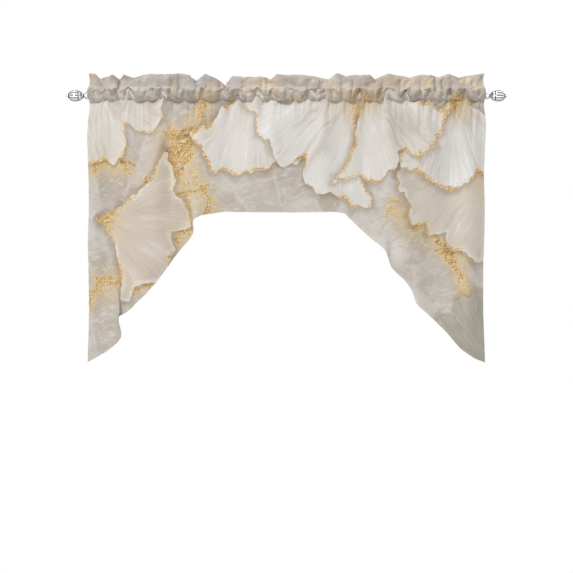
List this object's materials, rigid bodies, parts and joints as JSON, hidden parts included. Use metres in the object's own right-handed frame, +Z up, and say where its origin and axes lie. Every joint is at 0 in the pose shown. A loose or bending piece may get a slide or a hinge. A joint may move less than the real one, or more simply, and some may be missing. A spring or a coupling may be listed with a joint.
{
  "type": "swag valance on a curtain pole",
  "caption": "One-piece cloth swag valance with a ruffled heading, an arched middle and a pointed tail at each side, gathered on a polished pole with fluted finials",
  "frame": {"origin": "on the pole's axis, halfway along it", "axes": "+X along the pole, to the right as seen from the front; -Y out of the front of the cloth; +Z up"},
  "size_m": [1.396, 0.0705, 0.9139],
  "materials": {
    "printed_cloth": "plain weave polyester, matt, printed in ivory, beige grey and gold",
    "polished_silver": "polished, bright silver"
  },
  "bodies": {
    "root": {"valance": "printed_cloth", "pole": "polished_silver", "finial_left": "polished_silver", "finial_right": "polished_silver"}
  },
  "joints": []
}
